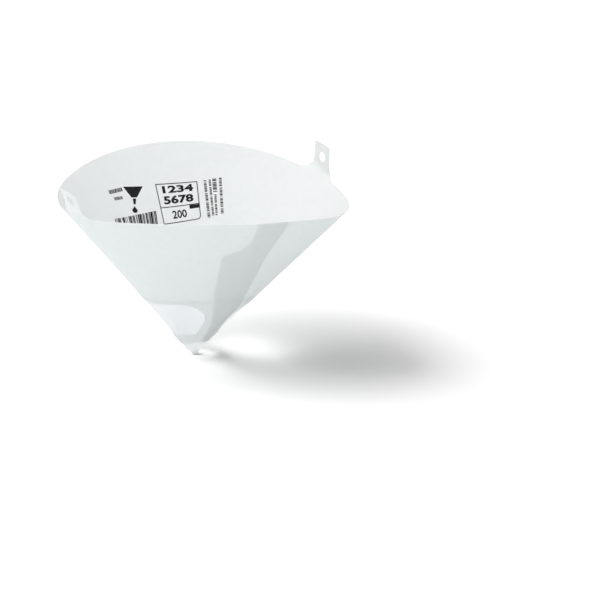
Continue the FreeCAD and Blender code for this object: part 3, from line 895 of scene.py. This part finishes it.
def new_material(name):
    """An empty material, its tree, its Principled shader and its output node."""
    material = bpy.data.materials.new(name)
    material.use_nodes = True
    nodes = material.node_tree.nodes
    return material, material.node_tree, nodes["Principled BSDF"], nodes["Material Output"]


def flat_place(tree):
    """Each point's place on the flat sheet, in mm."""
    flat = add(tree, "ShaderNodeUVMap", uv_map="flat").outputs[0]
    return scaled(tree, flat, SHEET_SPAN / MM)


# %% The pulp pattern
pulp, pulp_in, pulp_out = new_group("paper pulp", ["Cloud", "Fibres", "Height"])


def pulp_noise(scale, detail, stretch=(1, 1, 1), turn=0.0):
    """Noise on the flat sheet, with a scale per mm, stretched one way."""
    sizes = {"Vector": pulp_in.outputs["Place"], "Rotation": (0, 0, turn), "Scale": stretch}
    place = add(pulp, "ShaderNodeMapping", sizes).outputs[0]
    grain = {"Vector": place, "Scale": scale, "Detail": detail}
    return add(pulp, "ShaderNodeTexNoise", grain).outputs[0]


cloud = share_of(pulp, pulp_noise(scale=0.22, detail=5), low=0.3, high=0.7)
lengthwise = pulp_noise(scale=1.2, detail=3, stretch=(1, 7, 1), turn=0.3)
crosswise = pulp_noise(scale=1.2, detail=3, stretch=(6, 1, 1), turn=-0.5)
stronger = math_node(pulp, "MAXIMUM", lengthwise, crosswise)
fibres = share_of(pulp, stronger, low=0.4, high=0.8)
height = math_node(pulp, "ADD", math_node(pulp, "MULTIPLY", cloud, 0.6), fibres)
for name, value in (("Cloud", cloud), ("Fibres", fibres), ("Height", height)):
    pulp.links.new(value, pulp_out.inputs[name])
print("pulp nodes:", len(pulp.nodes))

# %% White paper
PAPER_SHOWS_THROUGH = 0.38
PAPER_DULL, PAPER_BRIGHT = (0.845, 0.845, 0.845), (0.858, 0.858, 0.858)
LIT_DULL, LIT_BRIGHT = (0.875, 0.9, 0.895), (0.91, 0.935, 0.93)

paper, tree, skin, output = new_material("white paper")
sheet = place_group(tree, pulp, flat_place(tree))
tone = blend(tree, sheet["Cloud"], PAPER_DULL, PAPER_BRIGHT)
tree.links.new(tone, skin.inputs["Base Color"])
tree.links.new(between(tree, sheet["Fibres"], low=0.62, high=0.5), skin.inputs["Roughness"])
skin.inputs["Specular IOR Level"].default_value = 0.3
tooth = bump(tree, sheet["Height"], strength=0.35, distance=0.03 * MM)
tree.links.new(tooth, skin.inputs["Normal"])
lit = blend(tree, sheet["Cloud"], LIT_DULL, LIT_BRIGHT)
glow = add(tree, "ShaderNodeBsdfTranslucent", {"Color": lit}).outputs[0]
thin_sheet = mix_shaders(tree, PAPER_SHOWS_THROUGH, skin.outputs[0], glow)
tree.links.new(thin_sheet, output.inputs[0])
rolled_paper.data.materials.append(paper)
print("white paper nodes:", len(tree.nodes))

# %% Black ink
INK_BLACK, INK_WORN = (0.008, 0.008, 0.01), (0.03, 0.03, 0.033)

black_ink, tree, skin, _ = new_material("black ink")
object_place = add(tree, "ShaderNodeTexCoord").outputs["Object"]
sheet = place_group(tree, pulp, scaled(tree, object_place, 1 / MM))
worn = math_node(tree, "MULTIPLY", sheet["Fibres"], sheet["Cloud"])
tree.links.new(blend(tree, worn, INK_BLACK, INK_WORN), skin.inputs["Base Color"])
tree.links.new(between(tree, sheet["Fibres"], low=0.42, high=0.6), skin.inputs["Roughness"])
skin.inputs["Specular IOR Level"].default_value = 0.1
bite = bump(tree, sheet["Height"], strength=0.3, distance=0.02 * MM)
tree.links.new(bite, skin.inputs["Normal"])
back_print.data.materials.append(black_ink)
print("black ink nodes:", len(tree.nodes))

# %% [markdown]
# ## Woven nylon
# The cloth is a plain weave of fine threads with square openings, about three threads to a
# millimetre. From here it looks like thin white cloth, but it stays a real mesh: the openings
# are see-through, by Alpha, and threads pass over and under each other in the bump. Its colour
# is darker where a thread runs low, at its edges and under a crossing thread, which is painted
# shade, and lighter on the crests. The weave is a node group, because the glued parts, at the
# point and along the upper edge, are the same cloth with its openings filled. Thin white threads
# also scatter most light onwards, to what lies behind the cloth. A surface shader can't do that,
# so for shadow rays and diffuse rays the open cloth is mixed with a transparent shader.

# %% The weave pattern
THREAD_PITCH, THREAD_SHARE = 0.33, 0.49
THREAD_EDGE, EDGE_BLUR = math.cos(math.pi * THREAD_SHARE), 0.08
weave, weave_in, weave_out = new_group("plain weave", ["Threads", "Height"])
sides = add(weave, "ShaderNodeSeparateXYZ", {"Vector": weave_in.outputs["Place"]}).outputs


def thread_waves(repeat):
    """Cosine waves across and along the cloth, with a crest every so many mm."""
    return [
        math_node(weave, "COSINE", math_node(weave, "MULTIPLY", side, 2 * math.pi / repeat))
        for side in sides[:2]
    ]


waves = thread_waves(THREAD_PITCH)
above = math_node(weave, "MULTIPLY", *thread_waves(2 * THREAD_PITCH))
rounds = [share_of(weave, wave, low=THREAD_EDGE, high=1) for wave in waves]
warp = math_node(weave, "MULTIPLY", rounds[0], between(weave, above, low=0.7, high=1))
weft = math_node(weave, "MULTIPLY", rounds[1], between(weave, above, low=1, high=0.4))
crest = math_node(weave, "MAXIMUM", *waves)
threads = share_of(weave, crest, low=THREAD_EDGE - EDGE_BLUR, high=THREAD_EDGE + EDGE_BLUR)
weave.links.new(threads, weave_out.inputs["Threads"])
weave.links.new(math_node(weave, "MAXIMUM", warp, weft), weave_out.inputs["Height"])
print("weave nodes:", len(weave.nodes))

# %% White nylon, open and glued
NYLON_SHOWS_THROUGH, THREADS_LET_ON = 0.5, 0.85
GROOVE_DULLER = 0.15


def nylon(name, groove_shade, crest_light, roughness, filled):
    """White nylon cloth, with its openings open or filled with glue, and its colour darker in the
    weave's low places as painted shade.
    """
    material, tree, skin, output = new_material(name)
    cloth_weave = place_group(tree, weave, flat_place(tree))
    height, threads = cloth_weave["Height"], cloth_weave["Threads"]
    # Painted shade: the colour is darker where the weave lies low, at the threads' edges and under
    # crossing threads, and lighter on the crests.
    tone = blend(tree, height, groove_shade, crest_light)
    tree.links.new(tone, skin.inputs["Base Color"])
    shine = between(tree, height, roughness + GROOVE_DULLER, roughness)
    tree.links.new(shine, skin.inputs["Roughness"])
    ribs = bump(tree, height, strength=0.4, distance=0.05 * MM)
    tree.links.new(ribs, skin.inputs["Normal"])
    behind = add(tree, "ShaderNodeBsdfTranslucent", {"Color": tone}).outputs[0]
    if not filled:
        gap = add(tree, "ShaderNodeBsdfTransparent").outputs[0]
        tree.links.new(threads, skin.inputs["Alpha"])
        behind = mix_shaders(tree, threads, gap, behind)
    cloth_mix = mix_shaders(tree, NYLON_SHOWS_THROUGH, skin.outputs[0], behind)
    if not filled:
        path = add(tree, "ShaderNodeLightPath").outputs
        passing = math_node(tree, "MAXIMUM", path["Is Shadow Ray"], path["Is Diffuse Ray"])
        let_on = math_node(tree, "MULTIPLY", passing, THREADS_LET_ON)
        cloth_mix = mix_shaders(tree, let_on, cloth_mix, gap)
    tree.links.new(cloth_mix, output.inputs[0])
    print(name, "nodes:", len(tree.nodes))
    return material


# Each nylon's first colour is its painted shade in the weave's low places, the second its colour
# on the crests.
mesh_cloth.data.materials.append(
    nylon("woven nylon", (0.89, 0.89, 0.905), (0.96, 0.96, 0.97), roughness=0.35, filled=False)
)
mesh_cloth.data.materials.append(
    nylon("glued nylon", (0.89, 0.895, 0.905), (0.95, 0.95, 0.96), roughness=0.2, filled=True)
)

# %% [markdown]
# ## The studio
#
# The strainer stands on a plain pale table. Even light from all round fills the shade, and a
# broad soft lamp high on the left models the form. A second lamp of the same kind is linked to
# the table alone: it makes the background white and throws the strainer's shadow to the right,
# but it doesn't shine on the strainer, which gets only what the table throws back up. To keep
# that low and slightly cool, the table has one colour for the camera and a darker, cooler one
# for all other light.

# %% The table
TABLE_HALF = 3
TABLE_COLOUR, TABLE_BOUNCE = (0.54, 0.54, 0.54), (0.457, 0.48, 0.484)
table_bm = bmesh.new()
bmesh.ops.create_grid(table_bm, x_segments=1, y_segments=1, size=TABLE_HALF)
table_mesh = bpy.data.meshes.new("table")
table_bm.to_mesh(table_mesh)
table_bm.free()
table = bpy.data.objects.new("table", table_mesh)
bpy.context.scene.collection.objects.link(table)
table_white, tree, skin, _ = new_material("table white")
seen = add(tree, "ShaderNodeLightPath").outputs["Is Camera Ray"]
tree.links.new(blend(tree, seen, TABLE_BOUNCE, TABLE_COLOUR), skin.inputs["Base Color"])
skin.inputs["Roughness"].default_value = 1
skin.inputs["Specular IOR Level"].default_value = 0
table_mesh.materials.append(table_white)
print("table width in m:", 2 * TABLE_HALF)

# %% Light from all round
WORLD_LIGHT = 0.82
studio = bpy.data.worlds.new("studio")
bpy.context.scene.world = studio
studio.use_nodes = True
tree = studio.node_tree
around = tree.nodes["Background"]
around.inputs["Color"].default_value = (1, 1, 1, 1)
around.inputs["Strength"].default_value = WORLD_LIGHT
backdrop = add(tree, "ShaderNodeBackground", {"Color": (1, 1, 1, 1), "Strength": 1})
path = add(tree, "ShaderNodeLightPath").outputs
seen = math_node(tree, "MAXIMUM", path["Is Camera Ray"], path["Is Glossy Ray"])
sky = mix_shaders(tree, seen, around.outputs[0], backdrop.outputs[0])
tree.links.new(sky, tree.nodes["World Output"].inputs[0])
print("world nodes:", len(tree.nodes))

# %% Two soft lamps
LAMP_FAR, LAMP_AIM = 4, Vector((0, 0, 60 * MM))


def soft_lamp(name, power, azimuth, height, size):
    """A round soft lamp that looks at the strainer from afar."""
    lamp = bpy.data.lights.new(name, "AREA")
    lamp.shape, lamp.size, lamp.energy = "DISK", size, power
    placed = bpy.data.objects.new(name, lamp)
    bpy.context.scene.collection.objects.link(placed)
    azimuth, height = math.radians(azimuth), math.radians(height)
    towards = Vector((math.cos(azimuth), math.sin(azimuth), math.tan(height))).normalized()
    placed.location = LAMP_AIM + towards * LAMP_FAR
    placed.rotation_euler = towards.to_track_quat("Z", "Y").to_euler()
    print(name, "at", placed.location)
    return placed


soft_lamp("form lamp", power=80, azimuth=200, height=56, size=2.6)
table_lamp = soft_lamp("table lamp", power=375, azimuth=165.5, height=43, size=4)
table_only = bpy.data.collections.new("table only")
table_only.objects.link(table)
table_lamp.light_linking.receiver_collection = table_only

# %% The view transform, and the end
bpy.context.scene.view_settings.view_transform = "Standard"
